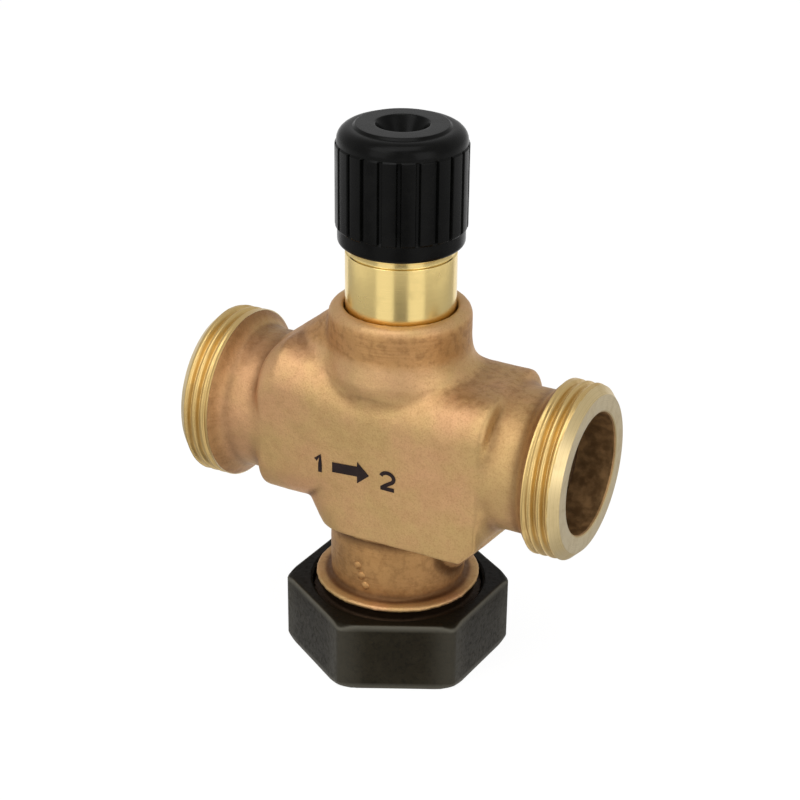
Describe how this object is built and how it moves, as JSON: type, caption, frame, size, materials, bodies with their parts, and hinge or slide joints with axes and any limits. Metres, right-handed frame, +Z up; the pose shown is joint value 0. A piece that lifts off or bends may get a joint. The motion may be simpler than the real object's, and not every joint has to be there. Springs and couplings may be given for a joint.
{
  "type": "two-way valve",
  "caption": "Bronze two-way seat valve with threaded side ports, a blanked bottom port under a black union nut, a brass neck and a ribbed black hand knob.",
  "frame": {"origin": "centre of the union nut's base, on the stem's axis", "axes": "+Z up along the stem's axis, +X through the side ports towards the outlet"},
  "size_m": [0.1, 0.055, 0.1354],
  "materials": {
    "cast_bronze": "satin as cast",
    "turned_brass": "polished",
    "black_plastic": "satin",
    "black_iron": "blackened",
    "stainless": "turned",
    "seal_rubber": "matte",
    "fibre": "matte"
  },
  "bodies": {
    "valve": {"valve_body": "cast_bronze", "bonnet": "turned_brass", "bonnet_gasket": "fibre", "gland_bush": "turned_brass", "stem_o_ring_lower": "seal_rubber", "stem_o_ring_upper": "seal_rubber", "gland_o_ring": "seal_rubber", "spring_washer": "stainless", "return_spring": "stainless", "union_nut": "black_iron", "blanking_disc": "turned_brass", "blanking_gasket": "fibre"},
    "stem_set": {"stem": "stainless", "plug": "turned_brass", "plug_seal": "seal_rubber", "plug_washer": "stainless", "plug_nut": "stainless", "spring_collar": "turned_brass", "collar_clip": "stainless"},
    "knob_set": {"knob": "black_plastic", "thrust_pad": "turned_brass"}
  },
  "joints": [
    {"name": "stem_travel", "type": "slide", "parent": "valve", "child": "stem_set", "axis": [0, 0, -1], "range_m": [0, 0.00544], "stiffness_N_per_m": 3000, "springref_m": -0.005, "deforming": ["return_spring"]},
    {"name": "knob_turn", "type": "hinge", "parent": "stem_set", "child": "knob_set", "pos_m": [0, 0, 0.12], "axis": [0, 0, -1], "range_deg": [0, 1080]}
  ],
  "couplings": [
    {"joint": "knob_turn", "follows": "stem_travel", "rad_per_m": 3463.7}
  ]
}
